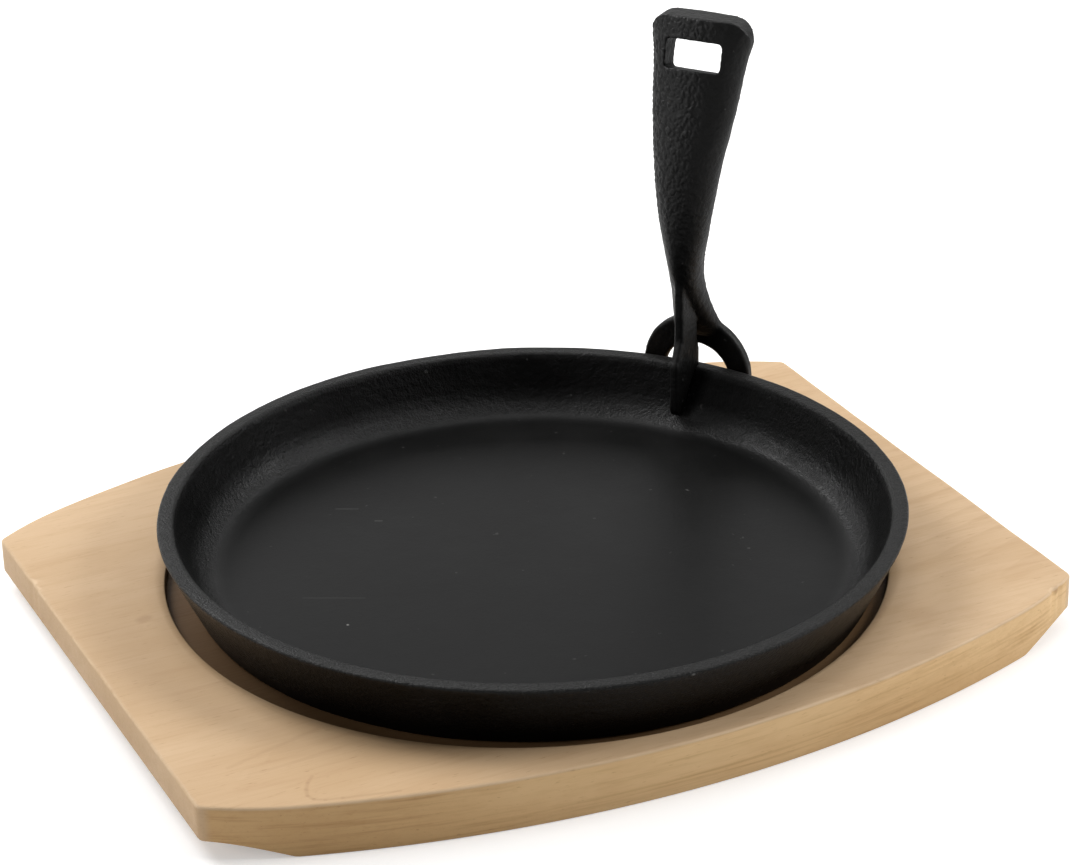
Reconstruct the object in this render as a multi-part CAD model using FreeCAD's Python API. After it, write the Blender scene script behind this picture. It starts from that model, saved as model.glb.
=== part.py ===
import FreeCAD, Part
import math
import os
from FreeCAD import Vector

# A round cast iron serving pan that sits in a recess of its own wooden board,
# with a lift-off cast iron handle hooked over the rim. Millimetres, +Z up,
# origin on the table under the middle of the board, X along the board.

# Board
board_length = 295.4
board_width = 251.4
shoulder_length = 240.0
shoulder_width = 211.8
board_end_width = 184.2
board_thickness = 17.0
board_corner_radius = 2.5
board_edge_bevel = 0.7
bevel_run = 30.0
bevel_rise = 5.4
bevel_end_round = 2.0
bevel_base_round = 40.0
recess_radius = 116.2
recess_depth = 3.5
recess_aside = -0.75
recess_forward = 1.6

# Pan
rim_radius = 120.0
rim_width = 5.2
pan_height = 24.0
base_radius = 109.0
base_edge_bevel = 1.5
floor_thickness = 4.0
bowl_fillet_radius = 12.0
rim_outer_bevel = 0.6
rim_inner_bevel = 0.8
pan_aside = 2.45
pan_forward = 0.4

# Handle, hooked over the rim
handle_bearing = 36.2
rim_clearance = 0.3
fork_gap = 1.0
fork_thickness = 4.0
fork_outer_radius = 20.2
fork_inner_radius = 12.8
fork_centre_drop = 4.0
fork_opening_drop = 6.7
fork_reach_down = 16.0
fork_edge_bevel = 0.7
crown_height = 12.5
crown_half_width = 10.0
crown_thickness = 5.5
neck_height = 36.0
neck_half_width = 5.9
neck_thickness = 9.0
belly_height = 53.0
neck_sweep_radius = 82.0
grip_bend_radius = 110.0
grip_lean = 16.5
grip_end_height = 124.5
grip_end_half_width = 18.2
grip_flare_half_width = 19.7
grip_end_thickness = 10.0
grip_edge_thickness = 1.5
grip_corner_radius = 7.5
grip_end_bow = 1.0
slot_width = 20.5
slot_height = 10.0
slot_below_end = 14.5
slot_corner_radius = 1.6
tongue_top = 34.0
tongue_depth = 12.7
tongue_claw_depth = 16.8
tongue_claw_height = 4.0
tongue_reach_down = 15.0
tongue_rim_overlap = 2.0
tongue_front_half_width = 1.5
tongue_back_half_width = 3.5
tongue_tip_round = 3.0

# How far cutting shapes run past the faces that they cut
overrun = 5.0


def chain(points):
    """Closed wire through points, given as corners or (corner, middle of arc) steps."""
    edges = []
    here = points[0]
    for step in points[1:] + [points[0]]:
        if isinstance(step, tuple):
            middle, there = step
            edges.append(Part.Arc(here, middle, there).toShape())
        else:
            there = step
            edges.append(Part.LineSegment(here, there).toShape())
        here = there
    return Part.Wire(edges)


def runs_along(edge, axis):
    """Whether the edge is straight and parallel to the axis."""
    return abs(edge.tangentAt(edge.FirstParameter).dot(axis)) > 0.99


# Board: one plank with bowed long sides that tighten at the shoulders,
# undercut ends and a round recess for the pan
recess_centre = Vector(recess_aside, -recess_forward, board_thickness - recess_depth)


def plan_outline():
    """Front and back bows, each with a tighter arc that runs on from it to the end."""
    x = board_length / 2
    y = board_end_width / 2
    shoulder_x = shoulder_length / 2
    shoulder_y = shoulder_width / 2
    drop = board_width / 2 - shoulder_y
    bow_radius = (shoulder_x ** 2 + drop ** 2) / (2 * drop)
    bow_end_slope = math.asin(shoulder_x / bow_radius)
    chord = Vector(x - shoulder_x, y - shoulder_y, 0)
    half_turn = (-math.atan2(chord.y, chord.x) - bow_end_slope) / 2
    outward = Vector(-chord.y, chord.x, 0) * (math.tan(half_turn) / 2)
    middle = Vector(shoulder_x, shoulder_y, 0) + chord / 2 + outward
    return chain([
        Vector(-x, -y, 0),
        (Vector(-middle.x, -middle.y, 0), Vector(-shoulder_x, -shoulder_y, 0)),
        (Vector(0, -board_width / 2, 0), Vector(shoulder_x, -shoulder_y, 0)),
        (Vector(middle.x, -middle.y, 0), Vector(x, -y, 0)),
        Vector(x, y, 0),
        (middle, Vector(shoulder_x, shoulder_y, 0)),
        (Vector(0, board_width / 2, 0), Vector(-shoulder_x, shoulder_y, 0)),
        (Vector(-middle.x, middle.y, 0), Vector(-x, y, 0)),
    ])


def side_block():
    """Side view of the board, with its undercut ends."""
    x = board_length / 2
    outline = chain([
        Vector(-x, -board_length, board_thickness + overrun),
        Vector(-x, -board_length, bevel_rise),
        Vector(bevel_run - x, -board_length, 0),
        Vector(x - bevel_run, -board_length, 0),
        Vector(x, -board_length, bevel_rise),
        Vector(x, -board_length, board_thickness + overrun),
    ])
    block = Part.Face(outline).extrude(Vector(0, 2 * board_length, 0))
    crosswise = [e for e in block.Edges if runs_along(e, Vector(0, 1, 0))]
    ends = [e for e in crosswise if abs(e.CenterOfMass.z - bevel_rise) < 0.01]
    block = block.makeFillet(bevel_end_round, ends)
    crosswise = [e for e in block.Edges if runs_along(e, Vector(0, 1, 0))]
    feet = [e for e in crosswise if abs(e.CenterOfMass.z) < 0.01]
    return block.makeFillet(bevel_base_round, feet)


def make_board():
    plank = Part.Face(plan_outline()).extrude(Vector(0, 0, board_thickness))
    upright = [e for e in plank.Edges if runs_along(e, Vector(0, 0, 1))]
    corners = [e for e in upright if abs(abs(e.CenterOfMass.x) - board_length / 2) < 0.01]
    plank = plank.makeFillet(board_corner_radius, corners).common(side_block())
    top_edges = [e for e in plank.Edges if e.BoundBox.ZMin > board_thickness - 0.01]
    plank = plank.makeChamfer(board_edge_bevel, top_edges)
    recess = Part.makeCylinder(recess_radius, recess_depth + overrun, recess_centre)
    return plank.cut(recess)


# Pan: one revolved casting with a flat base, a wall that leans outwards,
# a wide fillet inside and a flat bevelled rim
pan_centre = recess_centre + Vector(pan_aside, -pan_forward, 0)
wall_lean = (rim_radius - base_radius) / pan_height
wall_angle = math.atan(wall_lean)
rim_corner_radius = rim_radius + rim_outer_bevel * math.sin(wall_angle)


def pan_profile(grow=0.0):
    """Half section of the pan; grow moves its rim and wall faces outwards for a clearance."""
    outer_rim = rim_corner_radius + grow
    inner_rim = rim_radius - rim_width - grow
    top = pan_height + grow
    inner_foot = inner_rim - wall_lean * (top - floor_thickness)
    corners = chain([
        Vector(0, 0, 0),
        Vector(base_radius + grow, 0, 0),
        Vector(outer_rim, 0, top),
        Vector(inner_rim, 0, top),
        Vector(inner_foot, 0, floor_thickness),
        Vector(0, 0, floor_thickness),
    ])
    return Part.Face(corners)


def edges_at(solid, radius, height):
    found = []
    for edge in solid.Edges:
        if not isinstance(edge.Curve, Part.Circle):
            continue
        if abs(edge.Curve.Radius - radius) < 0.01 and abs(edge.Curve.Center.z - height) < 0.01:
            found.append(edge)
    return found


def make_pan(grow=0.0):
    solid = pan_profile(grow).revolve(Vector(0, 0, 0), Vector(0, 0, 1), 360)
    inner_rim = rim_radius - rim_width - grow
    rim_top = pan_height + grow
    inner_foot = inner_rim - wall_lean * (rim_top - floor_thickness)
    solid = solid.makeFillet(bowl_fillet_radius, edges_at(solid, inner_foot, floor_thickness))
    solid = solid.makeChamfer(base_edge_bevel, edges_at(solid, base_radius + grow, 0))
    solid = solid.makeChamfer(rim_outer_bevel, edges_at(solid, rim_corner_radius + grow, rim_top))
    solid = solid.makeChamfer(rim_inner_bevel, edges_at(solid, inner_rim, rim_top))
    return solid.translated(pan_centre)


# Handle: one casting, drawn in its own frame with X away from the pan and
# the origin on the outer edge of the rim, then turned and set on the rim
fork_front = fork_gap
fork_back = fork_gap + fork_thickness


def back_point(height):
    """Back of the neck and grip in side view, and how far the path leans there, in radians."""
    low_turn = math.asin((belly_height - crown_height) / neck_sweep_radius)
    belly_x = fork_back - neck_sweep_radius * (1 - math.cos(low_turn))
    if height < belly_height:
        turn = math.asin((belly_height - height) / neck_sweep_radius)
        return belly_x + neck_sweep_radius * (1 - math.cos(turn)), -turn
    lean = math.radians(grip_lean)
    bend_end = belly_height + grip_bend_radius * math.sin(lean)
    if height < bend_end:
        turn = math.asin((height - belly_height) / grip_bend_radius)
        return belly_x + grip_bend_radius * (1 - math.cos(turn)), turn
    run = (height - bend_end) * math.tan(lean)
    return belly_x + grip_bend_radius * (1 - math.cos(lean)) + run, lean


def blend(start, end, share):
    return start + (end - start) * share


def crowned_section(height, half_width, thickness):
    """Flat back, thin edges and an elliptical front, square to the path at this height."""
    x, lean = back_point(height)
    rise = thickness - grip_edge_thickness
    back_left = Vector(0, -half_width, 0)
    back_right = Vector(0, half_width, 0)
    front_left = Vector(-grip_edge_thickness, -half_width, 0)
    front_right = Vector(-grip_edge_thickness, half_width, 0)
    centre = Vector(-grip_edge_thickness, 0, 0)
    if half_width > rise:
        curve = Part.Ellipse(front_right, centre + Vector(-rise, 0, 0), centre)
    else:
        curve = Part.Ellipse(centre + Vector(-rise, 0, 0), front_right, centre)
    start = curve.parameter(front_right)
    end = curve.parameter(front_left)
    front = Part.ArcOfEllipse(curve, start, end).toShape()
    if front.BoundBox.XMax > -grip_edge_thickness + 0.1:
        front = Part.ArcOfEllipse(curve, end, start).toShape()
    wire = Part.Wire(Part.__sortEdges__([
        Part.LineSegment(back_left, back_right).toShape(),
        Part.LineSegment(back_right, front_right).toShape(),
        front,
        Part.LineSegment(front_left, back_left).toShape(),
    ]))
    wire.rotate(Vector(0, 0, 0), Vector(0, 1, 0), math.degrees(lean))
    wire.translate(Vector(x, 0, height))
    return wire


def make_grip():
    """Neck and grip, lofted from the crown of the fork to the far end."""
    sections = []
    for step in (0, 1, 2):
        share = step / 3
        height = blend(crown_height, neck_height, share)
        half_width = blend(neck_half_width, crown_half_width, (1 - share) ** 2.2)
        thickness = blend(crown_thickness, neck_thickness, share)
        sections.append(crowned_section(height, half_width, thickness))
    for step in range(7):
        share = step / 6
        height = blend(neck_height, grip_end_height + overrun, share)
        half_width = blend(neck_half_width, grip_flare_half_width, share * (1.18 - 0.18 * share))
        thickness = blend(neck_thickness, grip_end_thickness, share)
        sections.append(crowned_section(height, half_width, thickness))
    body = Part.makeLoft(sections, True, False)
    return body.common(end_outline()).cut(slot())


def end_outline():
    """Front view of the grip's end, with its rounded corners and slightly bowed edge."""
    far = 4 * fork_outer_radius
    half = grip_end_half_width
    low = crown_height - overrun
    shoulder = grip_end_height - grip_end_bow
    outline = chain([
        Vector(-far, -half, low),
        Vector(-far, half, low),
        Vector(-far, half, shoulder),
        (Vector(-far, 0, grip_end_height), Vector(-far, -half, shoulder)),
    ])
    block = Part.Face(outline).extrude(Vector(2 * far, 0, 0))
    crosswise = [e for e in block.Edges if runs_along(e, Vector(1, 0, 0))]
    corners = [e for e in crosswise if e.BoundBox.ZMin > low + overrun]
    return block.makeFillet(grip_corner_radius, corners)


def slot():
    """Hanging slot, square to the grip where it passes through."""
    height = grip_end_height - slot_below_end
    x, lean = back_point(height)
    depth = 3 * grip_end_thickness
    low_corner = Vector(-depth / 2, -slot_width / 2, -slot_height / 2)
    block = Part.makeBox(depth, slot_width, slot_height, low_corner)
    corners = [e for e in block.Edges if runs_along(e, Vector(1, 0, 0))]
    block = block.makeFillet(slot_corner_radius, corners)
    block.rotate(Vector(0, 0, 0), Vector(0, 1, 0), math.degrees(lean))
    block.translate(Vector(x, 0, height))
    return block


def make_fork():
    """Flat horseshoe that stands behind the rim."""
    leg_middle = (fork_outer_radius + fork_inner_radius) / 2
    leg_end_radius = (fork_outer_radius - fork_inner_radius) / 2
    leg_low = leg_end_radius - fork_reach_down
    x = fork_front
    crown_top = Vector(x, 0, fork_outer_radius - fork_centre_drop)
    arch_top = Vector(x, 0, fork_inner_radius - fork_opening_drop)
    outline = chain([
        Vector(x, -fork_outer_radius, -fork_centre_drop),
        (crown_top, Vector(x, fork_outer_radius, -fork_centre_drop)),
        Vector(x, fork_outer_radius, leg_low),
        (Vector(x, leg_middle, -fork_reach_down), Vector(x, fork_inner_radius, leg_low)),
        Vector(x, fork_inner_radius, -fork_opening_drop),
        (arch_top, Vector(x, -fork_inner_radius, -fork_opening_drop)),
        Vector(x, -fork_inner_radius, leg_low),
        (Vector(x, -leg_middle, -fork_reach_down), Vector(x, -fork_outer_radius, leg_low)),
    ])
    plate = Part.Face(outline).extrude(Vector(fork_thickness, 0, 0))
    rims = [e for e in plate.Edges if e.BoundBox.XLength < 0.01]
    return plate.makeChamfer(fork_edge_bevel, rims)


def make_tongue():
    """Blade that hangs inside the pan, thin in front and thicker against the wall."""
    x_root, lean = back_point(tongue_top)
    notch_back = tongue_rim_overlap - rim_width
    side = chain([
        Vector(-tongue_depth, 0, tongue_top),
        Vector(x_root - grip_edge_thickness, 0, tongue_top + 2),
        Vector(x_root - grip_edge_thickness, 0, crown_height),
        Vector(notch_back, 0, fork_inner_radius - fork_opening_drop),
        Vector(notch_back, 0, 0),
        Vector(notch_back - wall_lean * tongue_reach_down, 0, -tongue_reach_down),
        Vector(-tongue_claw_depth, 0, -tongue_reach_down),
        Vector(-tongue_claw_depth, 0, tongue_claw_height),
        Vector(-tongue_depth, 0, 3 * tongue_claw_height),
    ])
    blade = Part.Face(side).extrude(Vector(0, 4 * tongue_back_half_width, 0))
    blade.translate(Vector(0, -2 * tongue_back_half_width, 0))
    crosswise = [e for e in blade.Edges if runs_along(e, Vector(0, 1, 0))]
    claw = [e for e in crosswise if abs(e.CenterOfMass.x + tongue_claw_depth) < 0.01]
    tip = [e for e in claw if abs(e.CenterOfMass.z + tongue_reach_down) < 0.01]
    blade = blade.makeFillet(tongue_tip_round, tip)
    low = -tongue_reach_down - overrun
    plan = chain([
        Vector(-tongue_claw_depth - overrun, -tongue_front_half_width, low),
        Vector(-tongue_claw_depth - overrun, tongue_front_half_width, low),
        Vector(-tongue_depth, tongue_front_half_width, low),
        Vector(-rim_width, tongue_back_half_width, low),
        Vector(overrun, tongue_back_half_width, low),
        Vector(overrun, -tongue_back_half_width, low),
        Vector(-rim_width, -tongue_back_half_width, low),
        Vector(-tongue_depth, -tongue_front_half_width, low),
    ])
    wedge = Part.Face(plan).extrude(Vector(0, 0, tongue_top - low + 2 * overrun))
    return blade.common(wedge)


def make_handle():
    casting = make_grip().fuse([make_fork(), make_tongue()]).removeSplitter()
    bearing = math.radians(handle_bearing)
    casting.rotate(Vector(0, 0, 0), Vector(0, 0, 1), handle_bearing)
    casting.translate(pan_centre + Vector(
        rim_radius * math.cos(bearing),
        rim_radius * math.sin(bearing),
        pan_height,
    ))
    return casting.cut(make_pan(rim_clearance))


def save(shape, node):
    volume = round(shape.Volume / 1000, 1)
    print(node, "solids", len(shape.Solids), "valid", shape.isValid(), "cm3", volume)
    shape.exportStep("parts/" + node + ".step")


os.makedirs("parts", exist_ok=True)
save(make_board(), "board")
save(make_pan(), "pan")
save(make_handle(), "handle")
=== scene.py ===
import math
import bpy
from mathutils import Matrix, Vector, noise


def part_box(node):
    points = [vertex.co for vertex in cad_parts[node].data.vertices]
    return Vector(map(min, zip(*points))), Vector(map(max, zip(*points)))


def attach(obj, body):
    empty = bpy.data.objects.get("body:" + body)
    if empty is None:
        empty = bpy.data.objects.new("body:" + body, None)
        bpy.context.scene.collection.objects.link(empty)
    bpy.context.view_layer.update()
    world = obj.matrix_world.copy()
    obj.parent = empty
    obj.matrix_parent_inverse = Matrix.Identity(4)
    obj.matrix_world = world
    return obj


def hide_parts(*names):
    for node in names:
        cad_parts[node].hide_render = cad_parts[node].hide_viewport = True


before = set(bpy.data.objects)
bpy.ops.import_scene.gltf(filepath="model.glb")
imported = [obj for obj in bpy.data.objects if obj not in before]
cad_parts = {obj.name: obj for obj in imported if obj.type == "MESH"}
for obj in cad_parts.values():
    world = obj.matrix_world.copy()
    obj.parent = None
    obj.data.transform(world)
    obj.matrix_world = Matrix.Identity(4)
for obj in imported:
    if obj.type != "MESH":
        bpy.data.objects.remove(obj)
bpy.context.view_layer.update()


# Camera: a long lens about a metre away at the front left, 26 degrees above the
# board and rolled a little.
def make_camera():
    focal_px, image_width_px, sensor_width_mm = 3264.9, 1080.0, 36.0
    elevation, roll, azimuth = (math.radians(degrees) for degrees in (25.86, 1.31, 25.25))
    distance, aside, below, board_shift = 1.06251, -0.00443, -0.0554, 0.0004
    forward = Vector((0, math.cos(elevation), -math.sin(elevation)))
    up = Vector((0, math.sin(elevation), math.cos(elevation)))
    side = Vector((1, 0, 0))
    right_axis = side * math.cos(roll) - up * math.sin(roll)
    up_axis = side * math.sin(roll) + up * math.cos(roll)
    place = -(aside * right_axis + below * up_axis + distance * forward)
    turn = Matrix.Rotation(-azimuth, 3, "Z")
    axes = Matrix((turn @ right_axis, turn @ up_axis, turn @ -forward)).transposed()
    data = bpy.data.cameras.new("camera")
    data.sensor_width = sensor_width_mm
    data.lens = focal_px / image_width_px * sensor_width_mm
    camera = bpy.data.objects.new("camera", data)
    bpy.context.collection.objects.link(camera)
    camera.matrix_world = Matrix.Translation(turn @ place - Vector((board_shift, 0, 0))) @ axes.to_4x4()
    bpy.context.scene.camera = camera


make_camera()
bpy.context.scene.view_settings.view_transform = "Standard"


# Stage: a pale paper floor, six large soft lights round and above the object, and
# a dim surround. Paper and surround are lifted to white for the camera alone.
def add_node(tree, kind, sockets=None, **settings):
    """A node with its settings, and a link or a plain value for each socket named."""
    node = tree.nodes.new(kind)
    for key, value in settings.items():
        setattr(node, key, value)
    for socket, source in (sockets or {}).items():
        target = node.inputs[socket]
        if isinstance(source, bpy.types.NodeSocket):
            tree.links.new(source, target)
        else:
            target.default_value = source
    return node


def calc(tree, operation, a, b=0.0, c=0.0):
    return add_node(tree, "ShaderNodeMath", {0: a, 1: b, 2: c}, operation=operation).outputs[0]


def remap(tree, value, low, high, out_low=0.0, out_high=1.0):
    """Carries low to out_low and high to out_high, with a soft start and end."""
    sockets = {0: value, 1: low, 2: high, 3: out_low, 4: out_high}
    return add_node(tree, "ShaderNodeMapRange", sockets, interpolation_type="SMOOTHSTEP").outputs[0]


def new_material(name):
    material = bpy.data.materials.new(name)
    material.use_nodes = True
    tree = material.node_tree
    shader = tree.nodes["Principled BSDF"]
    place = tree.nodes.new("ShaderNodeTexCoord").outputs["Object"]
    return material, tree, shader, place


def make_floor():
    reach = 6.0
    shadow_reach, white_from = 0.5, 1.8
    corners = [(-reach, -reach, 0), (reach, -reach, 0), (reach, reach, 0), (-reach, reach, 0)]
    mesh = bpy.data.meshes.new("floor")
    mesh.from_pydata(corners, [], [(0, 1, 2, 3)])
    floor = bpy.data.objects.new("floor", mesh)
    bpy.context.collection.objects.link(floor)
    material, tree, shader, place = new_material("floor_paper")
    shader.inputs["Base Color"].default_value = (0.80, 0.80, 0.80, 1.0)
    shader.inputs["Roughness"].default_value = 0.9
    shader.inputs["Specular IOR Level"].default_value = 0.2
    shader.inputs["Emission Color"].default_value = (1.0, 1.0, 1.0, 1.0)
    seen = tree.nodes.new("ShaderNodeLightPath").outputs["Is Camera Ray"]
    away = add_node(tree, "ShaderNodeVectorMath", {0: place}, operation="LENGTH").outputs["Value"]
    lift = calc(tree, "MULTIPLY", seen, remap(tree, away, shadow_reach, white_from, 0.35, 1.0))
    tree.links.new(lift, shader.inputs["Emission Strength"])
    mesh.materials.append(material)


def make_surround():
    dim, white = 0.16, 1.0
    world = bpy.data.worlds.new("studio")
    world.use_nodes = True
    bpy.context.scene.world = world
    tree = world.node_tree
    background = tree.nodes["Background"]
    background.inputs["Color"].default_value = (1.0, 1.0, 1.0, 1.0)
    seen = tree.nodes.new("ShaderNodeLightPath").outputs["Is Camera Ray"]
    tree.links.new(calc(tree, "MULTIPLY_ADD", seen, white - dim, dim), background.inputs["Strength"])


def make_light(name, place, size, watts):
    data = bpy.data.lights.new(name, "AREA")
    data.shape = "RECTANGLE"
    data.size, data.size_y = size
    data.energy = watts
    light = bpy.data.objects.new(name, data)
    bpy.context.collection.objects.link(light)
    light.location = place
    over_board = Vector((0.0, 0.0, 0.03))
    light.rotation_euler = (over_board - Vector(place)).to_track_quat("-Z", "Y").to_euler()


make_floor()
make_surround()
make_light("back_left_box", (-0.50, 1.02, 0.98), (0.8, 0.6), 16.0)
make_light("left_box", (-1.35, 0.10, 0.65), (0.5, 0.5), 4.4)
make_light("right_box", (0.98, 0.38, 1.02), (0.6, 0.6), 3.2)
make_light("front_right_box", (1.12, -0.52, 0.85), (0.6, 0.5), 13.5)
make_light("low_back_box", (0.66, 1.32, 0.66), (1.3, 0.55), 2.05)
make_light("top_box", (0.05, 0.25, 1.60), (0.8, 0.8), 5.6)


# Board: one thick plank of pale beech, sawn, sanded and thinly oiled. Its grain runs
# along its length, a round recess is turned in its top, and each end is undercut.
board_half_length, board_half_width, board_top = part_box("board")[1]
recess_centre = Vector((-0.00075, -0.0016))
recess_radius, recess_depth, recess_edge = 0.1162, 0.0035, 0.0003


def board_outline(count):
    """Evenly spaced points round the plan, with the outward direction at each."""
    shoulder_x, shoulder_y, end_y, corner = 0.120, 0.1059, 0.0921, 0.0025
    drop = board_half_width - shoulder_y
    bow_radius = (shoulder_x ** 2 + drop ** 2) / (2 * drop)
    bow_angle = math.asin(shoulder_x / bow_radius)
    chord = Vector((board_half_length - shoulder_x, end_y - shoulder_y))
    turn = 2 * (-math.atan2(chord.y, chord.x) - bow_angle)
    end_radius = chord.length / (2 * math.sin(turn / 2))
    corner_turn = math.pi / 2 - (bow_angle + turn)
    cut = corner * math.tan(corner_turn / 2)
    end_turn = turn - cut / end_radius
    quarter = [(bow_radius, bow_angle), (end_radius, end_turn), (corner, corner_turn), (None, end_y - cut)]
    lengths = [radius * angle if radius else angle for radius, angle in quarter]
    points = []
    for index in range(count // 4):
        run = sum(lengths) * (index + 0.5) / (count // 4)
        place, heading = Vector((0.0, board_half_width)), 0.0
        for (radius, angle), length in zip(quarter, lengths):
            part = min(run, length)
            run -= part
            if radius:
                turned = part / radius
                place += Vector((
                    radius * (math.sin(heading + turned) - math.sin(heading)),
                    -radius * (math.cos(heading) - math.cos(heading + turned)),
                ))
                heading += turned
            else:
                place += Vector((0.0, -part))
            if run <= 0:
                break
        points.append((place, Vector((math.sin(heading), math.cos(heading)))))
    fit = board_half_length / max(p.x for p, n in points)
    points = [(Vector((p.x * fit, p.y)), n) for p, n in points]
    half = points + [(Vector((p.x, -p.y)), Vector((n.x, -n.y))) for p, n in reversed(points)]
    return half + [(-p, -n) for p, n in half]


def underside(x):
    """Height of the underside, with the hollow cut that lets fingers under each end."""
    run, rise = 0.0245, 0.0054
    past = abs(x) - (board_half_length - run)
    return rise * math.sin(math.pi / 2 * min(max(past / run, 0.0), 1.0))


def board_rings(outline):
    """Closed rings from under the board, round its eased edges and down into the recess."""
    top_edge, foot_edge, end_foot = 0.0009, 0.0006, 0.0010
    flat_from = top_edge * 2.2
    steps_under, steps_top, arc_steps = 90, 12, 5

    def wear(p):
        """Slow change in how far the top edge was sanded back."""
        wave = 0.022
        return top_edge * (1.0 + 0.45 * noise.noise(Vector((p.x, p.y, 0.3)) / wave))

    def foot(n):
        """How far the lower edge is eased: more at the ends than along the sides."""
        return foot_edge + (end_foot - foot_edge) * abs(n.x) ** 8

    rings = []
    for step in range(1, steps_under):
        share = step / steps_under
        flat = [(p - n * foot(n)) * share for p, n in outline]
        rings.append([Vector((q.x, q.y, underside(q.x))) for q in flat])
    for step in range(arc_steps + 1):
        angle = math.pi / 2 * step / arc_steps
        inset, lift = 1 - math.sin(angle), 1 - math.cos(angle)
        rings.append([
            Vector((*(p - n * foot(n) * inset), underside(p.x) + foot(n) * lift)) for p, n in outline
        ])
    for step in range(arc_steps + 1):
        angle = math.pi / 2 * step / arc_steps
        inset, drop = 1 - math.cos(angle), 1 - math.sin(angle)
        rings.append([Vector((*(p - n * wear(p) * inset), board_top - wear(p) * drop)) for p, n in outline])
    spokes = [(p - recess_centre).normalized() for p, n in outline]
    rim = [recess_centre + spoke * (recess_radius + recess_edge) for spoke in spokes]
    for step in range(steps_top + 1):
        share = step / steps_top
        rings.append([
            Vector((*(p - n * flat_from).lerp(q, share), board_top)) for (p, n), q in zip(outline, rim)
        ])
    recess_profile = (
        (recess_radius, recess_edge),
        (recess_radius, recess_depth - 0.0006),
        (recess_radius - 0.0002, recess_depth - 0.0002),
        (recess_radius - 0.0008, recess_depth),
        (recess_radius - 0.012, recess_depth),
        (recess_radius * 0.5, recess_depth),
    )
    for radius, depth in recess_profile:
        rings.append([Vector((*(recess_centre + spoke * radius), board_top - depth)) for spoke in spokes])
    return rings


def skin_rings(name, rings, start_centre, end_centre, flip=False):
    """Quads between closed rings of equal length, with a fan that closes each end to its centre."""
    count = len(rings[0])
    points = [p for ring in rings for p in ring]
    faces = []
    for level in range(len(rings) - 1):
        low = level * count
        for index in range(count):
            after = (index + 1) % count
            faces.append((low + index, low + after, low + count + after, low + count + index))
    for ring, centre, outward in ((0, start_centre, False), (len(rings) - 1, end_centre, True)):
        points.append(centre)
        tip = len(points) - 1
        low = ring * count
        for index in range(count):
            after = (index + 1) % count
            pair = (low + index, low + after) if outward else (low + after, low + index)
            faces.append((*pair, tip))
    if flip:
        faces = [tuple(reversed(face)) for face in faces]
    mesh = bpy.data.meshes.new(name)
    mesh.from_pydata(points, [], faces)
    mesh.update()
    mesh.shade_smooth()
    obj = bpy.data.objects.new(name, mesh)
    bpy.context.collection.objects.link(obj)
    return obj


def press_dents(mesh, dents):
    """Presses small round hollows. Each dent is (place, radius, depth)."""
    moves = {}
    for place, radius, depth in dents:
        for vertex in mesh.vertices:
            away = (vertex.co - Vector(place)).length / radius
            if away < 1:
                moves[vertex.index] = vertex.normal * depth * (1 - away ** 2) ** 2
    for index, move in moves.items():
        mesh.vertices[index].co -= move


def make_board():
    recess_floor = Vector((*recess_centre, board_top - recess_depth))
    rings = board_rings(board_outline(720))
    obj = skin_rings("board_plank", rings, Vector((0, 0, 0)), recess_floor, flip=True)
    press_dents(obj.data, (
        ((0.1372, -0.0985, board_top), 0.0022, 0.0009),
        ((0.1405, -0.0968, board_top - 0.001), 0.0016, 0.0007),
        ((-board_half_length, 0.0590, board_top), 0.0030, 0.0004),
        ((-board_half_length, 0.0540, board_top), 0.0022, 0.0004),
    ))
    return obj


def new_group(name, inputs, outputs):
    """An empty node group. Each input is (name, kind, value) and each output (name, kind)."""
    group = bpy.data.node_groups.new(name, "ShaderNodeTree")
    for socket, kind, value in inputs:
        made = group.interface.new_socket(socket, in_out="INPUT", socket_type=kind)
        if value is not None:
            made.default_value = value
    for socket, kind in outputs:
        group.interface.new_socket(socket, in_out="OUTPUT", socket_type=kind)
    return group, group.nodes.new("NodeGroupInput"), group.nodes.new("NodeGroupOutput")


def make_scratch_group():
    """A thin mark between two places, on or near the surface."""
    group, given, result = new_group(
        "scratch",
        (
            ("Place", "NodeSocketVector", None), ("Start", "NodeSocketVector", None),
            ("End", "NodeSocketVector", None), ("Width", "NodeSocketFloat", 0.0003),
        ),
        (("Mask", "NodeSocketFloat"),),
    )
    place, start, end, width = given.outputs[:4]

    def vector_calc(operation, a, b):
        return add_node(group, "ShaderNodeVectorMath", {0: a, 1: b}, operation=operation)

    line = vector_calc("SUBTRACT", end, start).outputs[0]
    out = vector_calc("SUBTRACT", place, start).outputs[0]
    reached = vector_calc("DOT_PRODUCT", out, line).outputs[1]
    along = calc(group, "DIVIDE", reached, vector_calc("DOT_PRODUCT", line, line).outputs[1])
    along = add_node(group, "ShaderNodeClamp", {0: along}).outputs[0]
    foot = add_node(group, "ShaderNodeVectorMath", {0: line, 3: along}, operation="SCALE").outputs[0]
    away = vector_calc("DISTANCE", out, foot).outputs[1]
    group.links.new(remap(group, calc(group, "DIVIDE", away, width), 1.0, 0.2), result.inputs["Mask"])
    return group


def mix_color(tree, factor, a, b, blend_type="MIX"):
    """Mixes two colours, each a socket or a plain (red, green, blue)."""
    sockets = {0: factor}
    for index, source in ((6, a), (7, b)):
        sockets[index] = source if isinstance(source, bpy.types.NodeSocket) else (*source, 1.0)
    return add_node(tree, "ShaderNodeMix", sockets, data_type="RGBA", blend_type=blend_type).outputs[2]


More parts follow.
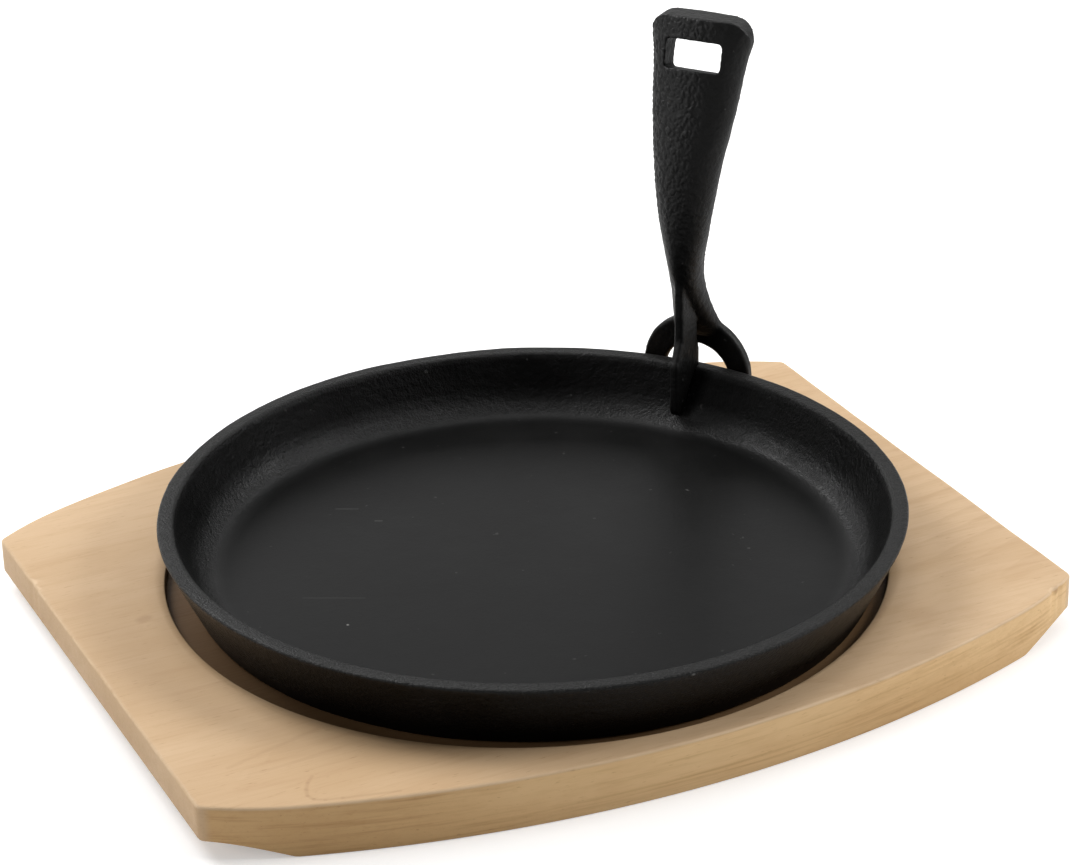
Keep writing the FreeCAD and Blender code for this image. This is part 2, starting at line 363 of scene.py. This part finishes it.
def add_marks(tree, place, tone, marks, colour):
    """Draws thin marks over a tone. Each mark is (start, end, width, strength)."""
    for start, end, width, strength in marks:
        sockets = {"Place": place, "Start": start, "End": end, "Width": width}
        mask = add_node(tree, "ShaderNodeGroup", sockets, node_tree=scratch_group).outputs["Mask"]
        tone = mix_color(tree, calc(tree, "MULTIPLY", mask, strength), tone, colour)
    return tone


def noise_at(tree, place, waves_per_metre, detail, roughness):
    sockets = {"Vector": place, "Scale": waves_per_metre, "Detail": detail, "Roughness": roughness}
    return add_node(tree, "ShaderNodeTexNoise", sockets).outputs["Fac"]


def wood_noise(tree, place, waves_per_metre, detail=3.0, roughness=0.6):
    """Noise with its own waves per metre along, across and up the plank."""
    stretched = add_node(tree, "ShaderNodeMapping", {"Vector": place, "Scale": waves_per_metre}).outputs[0]
    return noise_at(tree, stretched, 1.0, detail, roughness)


def hypotenuse(tree, a, b):
    """The length of the slant across the sides a and b."""
    return calc(tree, "SQRT", calc(tree, "MULTIPLY_ADD", a, a, calc(tree, "MULTIPLY", b, b)))


def growth_rings(tree, place, along, across, up):
    """Dark lines of late wood round a pith that lies below the board and dips to the left."""
    pith_depth, pith_dip, pith_across, ring_width = 0.060, -0.16, -0.095, 0.0058
    waver = wood_noise(tree, place, (11.0, 24.0, 24.0), roughness=0.5)
    below = calc(tree, "ADD", calc(tree, "MULTIPLY_ADD", along, pith_dip, pith_depth), up)
    beside = calc(tree, "SUBTRACT", across, pith_across)
    radius = calc(tree, "MULTIPLY_ADD", waver, 0.012, hypotenuse(tree, below, beside))
    ring = calc(tree, "FRACT", calc(tree, "DIVIDE", radius, ring_width))
    late_wood = calc(tree, "MULTIPLY", remap(tree, ring, 0.35, 0.94), remap(tree, ring, 1.0, 0.95))
    shows = remap(tree, wood_noise(tree, place, (9.0, 20.0, 20.0), 2.0, 0.5), 0.42, 0.70)
    return calc(tree, "MULTIPLY", late_wood, shows)


def beech():
    """Pale wood with a quiet figure; its long faces warmer and lifted by painted light, with painted shade
    on their left part and inside the recess, and a painted highlight along the top arris.
    """
    material, tree, shader, place = new_material("beech")
    along, across, up = add_node(tree, "ShaderNodeSeparateXYZ", {"Vector": place}).outputs
    clouds = wood_noise(tree, place, (8.0, 26.0, 26.0), roughness=0.55)
    mottle = wood_noise(tree, place, (45.0, 150.0, 150.0))
    fibres = wood_noise(tree, place, (70.0, 1500.0, 1500.0))
    streaks = wood_noise(tree, place, (30.0, 380.0, 380.0))
    flecks = wood_noise(tree, place, (260.0, 2200.0, 2200.0), 1.0, 0.5)
    rings = growth_rings(tree, place, along, across, up)

    plain_wood, pale_wood = (0.540, 0.362, 0.202), (0.606, 0.426, 0.258)
    mark_brown, painted_arris_highlight = (0.260, 0.130, 0.055), (0.800, 0.610, 0.400)
    side_warmth_and_painted_light, left_shade = (1.25, 1.21, 1.02), (0.86, 0.82, 0.76)
    line_shade, recess_shade = (0.80, 0.74, 0.66), (0.27, 0.22, 0.165)
    tone = mix_color(tree, remap(tree, clouds, 0.32, 0.70), plain_wood, pale_wood)
    for pattern, colour in (
        (remap(tree, mottle, 0.46, 0.78, 0.0, 0.34), (0.500, 0.320, 0.175)),
        (remap(tree, streaks, 0.48, 0.80, 0.0, 0.34), (0.460, 0.285, 0.150)),
        (remap(tree, fibres, 0.50, 0.85, 0.0, 0.34), (0.430, 0.265, 0.140)),
        (calc(tree, "MULTIPLY", rings, 0.20), (0.400, 0.235, 0.115)),
        (remap(tree, flecks, 0.68, 0.80, 0.0, 0.45), (0.330, 0.180, 0.080)),
    ):
        tone = mix_color(tree, pattern, tone, colour)
    tone = add_marks(tree, place, tone, wood_marks, mark_brown)

    below_top = calc(tree, "SUBTRACT", board_top, up)
    x = calc(tree, "SUBTRACT", along, recess_centre.x)
    y = calc(tree, "SUBTRACT", across, recess_centre.y)
    from_recess = hypotenuse(tree, x, y)
    sunk = remap(tree, from_recess, recess_radius + 0.0006, recess_radius - 0.0002)
    outside = calc(tree, "SUBTRACT", 1.0, sunk)
    from_end = calc(tree, "SUBTRACT", board_half_length, calc(tree, "ABSOLUTE", along))
    side = calc(tree, "MULTIPLY", remap(tree, below_top, 0.0004, 0.0012), outside)
    side = calc(tree, "MULTIPLY", side, remap(tree, from_end, 0.0011, 0.0037))
    side_left = calc(tree, "MULTIPLY", side, remap(tree, along, -0.045, -0.120))
    lines = remap(tree, wood_noise(tree, place, (14.0, 60.0, 620.0)), 0.46, 0.74)
    # The long faces get a warmer tone, partly their own colour and partly painted light that lifts them.
    tone = mix_color(tree, side, tone, side_warmth_and_painted_light, "MULTIPLY")
    tone = mix_color(tree, side_left, tone, left_shade, "MULTIPLY")
    tone = mix_color(tree, calc(tree, "MULTIPLY", side, lines), tone, line_shade, "MULTIPLY")
    # A painted highlight along the rounded top arris, broken into patches.
    arris_from = remap(tree, below_top, 0.00002, 0.00020)
    arris = calc(tree, "MULTIPLY", arris_from, remap(tree, below_top, 0.0010, 0.0005))
    arris = calc(tree, "MULTIPLY", arris, remap(tree, mottle, 0.30, 0.62, 0.05, 0.38))
    tone = mix_color(tree, calc(tree, "MULTIPLY", arris, outside), tone, painted_arris_highlight)
    tone = mix_color(tree, sunk, tone, recess_shade, "MULTIPLY")

    tree.links.new(tone, shader.inputs["Base Color"])
    tree.links.new(remap(tree, fibres, 0.3, 0.8, 0.52, 0.66), shader.inputs["Roughness"])
    shader.inputs["Specular IOR Level"].default_value = 0.35
    height = calc(tree, "MULTIPLY_ADD", streaks, 0.6, fibres)
    bump = add_node(tree, "ShaderNodeBump", {"Height": height, "Strength": 0.30, "Distance": 0.00018})
    tree.links.new(bump.outputs[0], shader.inputs["Normal"])
    return material


growth_line = (
    (-0.1123, -0.0920), (-0.1148, -0.0948), (-0.1166, -0.0980), (-0.1175, -0.1012),
    (-0.1166, -0.1038), (-0.1138, -0.1056), (-0.1090, -0.1069), (-0.0931, -0.1111),
)
line_marks = tuple((start, end, 0.0009, 0.17) for start, end in zip(growth_line, growth_line[1:]))
# Four faint darker marks drawn on the top: two thin streaks by the left front of the pan, a spot by its
# left side and a spot by its right front.
faint_dark_marks = (
    ((-0.1322, -0.0766), (-0.1006, -0.0681), 0.0012, 0.10),
    ((-0.1243, -0.0832), (-0.0992, -0.0815), 0.0012, 0.08),
    ((-0.1247, 0.0184), (-0.1230, 0.0190), 0.0030, 0.25),
    ((0.0895, -0.0950), (0.0935, -0.0925), 0.0065, 0.13),
)
nick_height = board_top - 0.001
wood_marks = [
    ((*start, board_top), (*end, board_top), width, strength)
    for start, end, width, strength in line_marks + faint_dark_marks
]
wood_marks.append(((0.1372, -0.1000, nick_height), (0.1392, -0.0978, nick_height), 0.0022, 0.55))
scratch_group = make_scratch_group()

board = make_board()
board.data.materials.append(beech())
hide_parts("board")
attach(board, "root")


# Pan: one round casting of iron, seasoned black, with a flat base, a sloping wall,
# a wide fillet inside and a flat rim. It lies loose in the recess.
pan_low, pan_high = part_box("pan")
pan_x, pan_y = ((low + high) / 2 for low, high in zip(pan_low[:2], pan_high[:2]))
pan_foot, rim_top = pan_low[2], pan_high[2]
rim_radius = (pan_high[0] - pan_low[0]) / 2
base_radius, rim_width, floor_thickness = 0.109, 0.0052, 0.004
pan_lean = (rim_radius - base_radius) / (rim_top - pan_foot)
pan_floor = pan_foot + floor_thickness


def rounded_path(corners, step):
    """Points along straight runs and corner arcs. Each corner is (x, y, radius)."""
    points = [Vector(corners[0][:2])]
    for before, corner, after in zip(corners, corners[1:], corners[2:]):
        here, radius = Vector(corner[:2]), corner[2]
        to_before = (Vector(before[:2]) - here).normalized()
        to_after = (Vector(after[:2]) - here).normalized()
        half = to_before.angle(to_after) / 2
        reach = radius / math.tan(half)
        start = here + to_before * reach
        end = here + to_after * reach
        centre = here + (to_before + to_after).normalized() * (radius / math.sin(half))
        turn = math.pi - 2 * half
        count = max(2, round(turn * radius / step) + 3)
        add_run(points, start, step)
        for index in range(1, count + 1):
            points.append(arc_point(centre, start, end, turn, index / count))
    add_run(points, Vector(corners[-1][:2]), step)
    return points


def add_run(points, end, step):
    start = points[-1].copy()
    count = max(1, round((end - start).length / step))
    for index in range(1, count + 1):
        points.append(start.lerp(end, index / count))


def arc_point(centre, start, end, turn, share):
    """The place a share of the way round the arc from start to end."""
    a = start - centre
    b = end - centre
    return centre + (a * math.sin((1 - share) * turn) + b * math.sin(share * turn)) / math.sin(turn)


def roughen(mesh, layers, weight=None):
    """Moves each point along its normal by layers of noise. Each layer is (wavelength, height, seed)."""
    moves = []
    for vertex in mesh.vertices:
        move = 0.0
        for wavelength, height, seed in layers:
            move += height * noise.noise(vertex.co / wavelength + Vector((seed, seed * 2.3, seed * 0.7)))
        if weight:
            move *= weight(vertex.co, vertex.normal)
        moves.append(vertex.normal * move)
    for vertex, move in zip(mesh.vertices, moves):
        vertex.co += move
    mesh.update()


def make_pan():
    height, fillet, hub = rim_top - pan_foot, 0.012, 0.004
    around, step = 544, 0.0016
    outer_corner = rim_radius + 0.0003
    inner_corner = rim_radius - rim_width
    inner_foot = inner_corner - pan_lean * (height - floor_thickness)
    profile = rounded_path(
        [
            (hub, 0.0, 0.0),
            (base_radius, 0.0, 0.0025),
            (outer_corner, height, 0.0008),
            (inner_corner, height, 0.0015),
            (inner_foot, floor_thickness, fillet),
            (hub, floor_thickness, 0.0),
        ],
        step,
    )
    centre = Vector((pan_x, pan_y, pan_foot))
    angles = [2 * math.pi * index / around for index in range(around)]
    rings = [
        [centre + Vector((radius * math.cos(angle), radius * math.sin(angle), rise)) for angle in angles]
        for radius, rise in profile
    ]
    obj = skin_rings("pan_casting", rings, centre, centre + Vector((0, 0, floor_thickness)))

    def flatter_floor(place, normal):
        return 0.25 if normal.z > 0.9 and place.z < pan_floor + 0.001 else 1.0

    roughen(obj.data, ((0.030, 0.00020, 1.0), (0.008, 0.00007, 5.0), (0.0035, 0.00004, 9.0)), flatter_floor)
    return obj


def make_grain_group():
    """Fine sand grain over coarser grain, with flatter patches between and a few pits."""
    group, given, result = new_group(
        "sand_cast_grain",
        (
            ("Place", "NodeSocketVector", None), ("Grain", "NodeSocketFloat", 700.0),
            ("Pebble", "NodeSocketFloat", 260.0),
        ),
        (("Height", "NodeSocketFloat"), ("Patches", "NodeSocketFloat"), ("Pits", "NodeSocketFloat")),
    )
    place, grain, pebble = given.outputs[:3]
    patches = noise_at(group, place, 45.0, 3.0, 0.55)
    fine = noise_at(group, place, grain, 4.0, 0.62)
    coarse = noise_at(group, place, pebble, 2.0, 0.5)
    faded = calc(group, "MULTIPLY", fine, remap(group, patches, 0.3, 0.7, 0.6, 1.0))
    height = calc(group, "MULTIPLY_ADD", coarse, 0.8, faded)
    pits = remap(group, noise_at(group, place, 420.0, 1.0, 0.4), 0.77, 0.81)
    group.links.new(height, result.inputs["Height"])
    group.links.new(patches, result.inputs["Patches"])
    group.links.new(pits, result.inputs["Pits"])
    return group


def cast_skin(tree, place, grain, pebble):
    """The grain of a casting, and its nearly black tone with greyer pits."""
    sockets = {"Place": place, "Grain": grain, "Pebble": pebble}
    skin = add_node(tree, "ShaderNodeGroup", sockets, node_tree=grain_group).outputs
    patched = remap(tree, skin["Patches"], 0.35, 0.7)
    black, soft_black, grey_pit = (0.0022, 0.0022, 0.0021), (0.0032, 0.0031, 0.0030), (0.060, 0.059, 0.057)
    tone = mix_color(tree, patched, black, soft_black)
    tone = mix_color(tree, calc(tree, "MULTIPLY", skin["Pits"], 0.5), tone, grey_pit)
    return skin, tone


def finish_iron(tree, shader, skin, tone, roughness, bump_depth, bump_share=1.0):
    """Gives a casting its tone, a roughness that differs from patch to patch, and its grain."""
    tree.links.new(tone, shader.inputs["Base Color"])
    uneven = calc(tree, "ADD", roughness, remap(tree, skin["Patches"], 0.3, 0.7, -0.02, 0.02))
    tree.links.new(uneven, shader.inputs["Roughness"])
    sockets = {"Height": skin["Height"], "Strength": bump_share, "Distance": bump_depth}
    tree.links.new(add_node(tree, "ShaderNodeBump", sockets).outputs[0], shader.inputs["Normal"])


def open_gloss(tree, reach, shut, opened):
    """Gloss that fades in hollows, from full in the open to a fifth where the surface is shut in."""
    openness = add_node(tree, "ShaderNodeAmbientOcclusion", {"Distance": reach}, samples=6).outputs["AO"]
    return remap(tree, openness, shut, opened, 0.10, 0.50)


def wall_gloss(tree, along, across, up):
    """A factor for the gloss inside the pan: less on the upper wall, more on the fillet."""
    x = calc(tree, "SUBTRACT", along, pan_x)
    y = calc(tree, "SUBTRACT", across, pan_y)
    from_middle = hypotenuse(tree, x, y)
    outer_skin = calc(tree, "MULTIPLY_ADD", calc(tree, "SUBTRACT", up, pan_foot), pan_lean, base_radius)
    inside = remap(tree, calc(tree, "SUBTRACT", from_middle, outer_skin), -0.0015, -0.0040)
    wall = calc(tree, "MULTIPLY", inside, remap(tree, up, pan_foot + 0.0105, pan_foot + 0.0145))
    wall = calc(tree, "MULTIPLY", wall, remap(tree, up, rim_top - 0.0006, rim_top - 0.0030))
    fillet = calc(tree, "MULTIPLY", inside, remap(tree, up, pan_floor, pan_floor + 0.0020))
    fillet = calc(tree, "MULTIPLY", fillet, remap(tree, up, pan_foot + 0.0115, pan_foot + 0.0080))
    dulled = remap(tree, wall, 0.0, 1.0, 1.0, 0.48)
    return calc(tree, "MULTIPLY", dulled, calc(tree, "MULTIPLY_ADD", fillet, 0.55, 1.0))


def pan_iron():
    """Seasoned iron, smooth on the floor, grainy on the walls and greyer along the top of the rim."""
    material, tree, shader, place = new_material("pan_iron")
    along, across, up = add_node(tree, "ShaderNodeSeparateXYZ", {"Vector": place}).outputs
    scratched, grey_rim_top = (0.20, 0.20, 0.19), (0.013, 0.013, 0.0126)
    skin, tone = cast_skin(tree, place, grain=1300.0, pebble=520.0)
    tone = add_marks(tree, place, tone, pan_marks, scratched)
    # A greyer tone over the top millimetre of the rim.
    tone = mix_color(tree, remap(tree, up, rim_top - 0.0010, rim_top - 0.0002), tone, grey_rim_top)
    floor_to_wall = remap(tree, up, pan_floor + 0.0001, pan_floor + 0.0022, 0.41, 0.34)
    bump_share = remap(tree, up, pan_floor, pan_floor + 0.0028, 0.05, 1.0)
    finish_iron(tree, shader, skin, tone, floor_to_wall, bump_depth=0.00052, bump_share=bump_share)
    gloss = open_gloss(tree, reach=0.010, shut=0.25, opened=0.75)
    gloss = calc(tree, "MULTIPLY", gloss, wall_gloss(tree, along, across, up))
    tree.links.new(gloss, shader.inputs["Specular IOR Level"])
    shader.inputs["IOR"].default_value = 1.27
    return material


rim_side = rim_top - 0.001
pan_marks = (
    ((-0.0691, -0.0157, pan_floor), (-0.0691, -0.0156, pan_floor), 0.0006, 1.0),
    ((-0.0749, 0.0071, pan_floor), (-0.0575, -0.0021, pan_floor), 0.0003, 0.12),
    ((-0.0419, 0.0592, pan_floor), (-0.0354, 0.0557, pan_floor), 0.0003, 0.20),
    ((-0.0338, 0.0451, pan_floor), (-0.0318, 0.0440, pan_floor), 0.0004, 0.25),
    ((0.0451, -0.1097, rim_top), (0.0462, -0.1090, rim_top), 0.0006, 0.8),
    ((-0.0042, -0.1215, rim_side), (-0.0038, -0.1214, rim_side), 0.0006, 0.6),
)
grain_group = make_grain_group()

pan = make_pan()
pan.data.materials.append(pan_iron())
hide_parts("pan")
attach(pan, "root")


# Handle: a separate casting of the same iron, hooked over the rim. Its skin is
# pebbled as cast, with all edges softened by the sand mould.
handle_bearing = math.radians(36.2)
pan_middle = Vector((pan_x, pan_y, 0))
outward = Vector((math.cos(handle_bearing), math.sin(handle_bearing), 0))
rightward = Vector((math.sin(handle_bearing), -math.cos(handle_bearing), 0))


def take_modifiers(obj):
    """Makes the modified shape the real one."""
    made = bpy.data.meshes.new_from_object(obj.evaluated_get(bpy.context.evaluated_depsgraph_get()))
    obj.modifiers.clear()
    obj.data = made


def smooth_step(low, high, value):
    share = min(max((value - low) / (high - low), 0.0), 1.0)
    return share * share * (3 - 2 * share)


def soften_blade(obj):
    """Rounds the front of the blade where it runs up into the neck."""
    group = obj.vertex_groups.new(name="blade_front")
    for vertex in obj.data.vertices:
        inward = rim_radius - (vertex.co - pan_middle).dot(outward)
        share = smooth_step(0.005, 0.009, inward) * smooth_step(-0.012, -0.006, vertex.co.z - rim_top)
        if share > 0:
            group.add([vertex.index], share, "REPLACE")
    ease = obj.modifiers.new("ease", "SMOOTH")
    ease.factor, ease.iterations, ease.vertex_group = 0.5, 30, group.name
    take_modifiers(obj)


def add_pebbles(mesh, top):
    """Raised grains on the front of the grip, thick on its left half and fading to the right."""
    grain_size, grain_height, warp_size, warp_height = 0.0021, 0.00024, 0.003, 0.0006
    moves = {}
    for vertex in mesh.vertices:
        facing = -vertex.normal.dot(outward)
        if facing < 0.3:
            continue
        aside = (vertex.co - pan_middle).dot(rightward)
        fade = 1 - smooth_step(0.002, 0.009, aside)
        fade *= smooth_step(0.3, 0.6, facing) * (1 - smooth_step(0.050, 0.085, top - vertex.co.z))
        warp = warp_height * noise.noise(vertex.co / warp_size)
        near, far = noise.voronoi((vertex.co + Vector((warp, warp, -warp))) / grain_size)[0][:2]
        grain = smooth_step(0.02, 0.35, far - near)
        moves[vertex.index] = vertex.normal * grain_height * grain * (0.10 + 0.90 * fade)
    for index, move in moves.items():
        mesh.vertices[index].co += move


def make_handle():
    obj = bpy.data.objects.new("handle_casting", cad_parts["handle"].data.copy())
    bpy.context.collection.objects.link(obj)
    weld = obj.modifiers.new("weld", "WELD")
    weld.merge_threshold = 0.00001
    remesh = obj.modifiers.new("remesh", "REMESH")
    remesh.mode = "VOXEL"
    remesh.voxel_size = 0.0004
    smooth = obj.modifiers.new("smooth", "SMOOTH")
    smooth.factor = 0.5
    smooth.iterations = 4
    take_modifiers(obj)
    soften_blade(obj)
    shape = obj.data
    shape.name = "handle_casting"
    shape.shade_smooth()
    roughen(shape, ((0.012, 0.00010, 2.0), (0.0040, 0.00007, 4.0), (0.0020, 0.00005, 7.0)))
    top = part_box("handle")[1][2]
    add_pebbles(shape, top)
    for vertex in shape.vertices:
        vertex.co.z = min(vertex.co.z, top)
    shape.update()
    return obj


def handle_iron():
    """The same seasoned iron with a coarser grain, darker in the slot and under the fork."""
    material, tree, shader, place = new_material("handle_iron")
    skin, tone = cast_skin(tree, place, grain=900.0, pebble=420.0)
    finish_iron(tree, shader, skin, tone, roughness=0.45, bump_depth=0.00030)
    gloss = open_gloss(tree, reach=0.020, shut=0.60, opened=0.97)
    tree.links.new(gloss, shader.inputs["Specular IOR Level"])
    shader.inputs["IOR"].default_value = 1.37
    return material


handle = make_handle()
handle.data.materials.clear()
handle.data.materials.append(handle_iron())
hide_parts("handle")
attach(handle, "root")
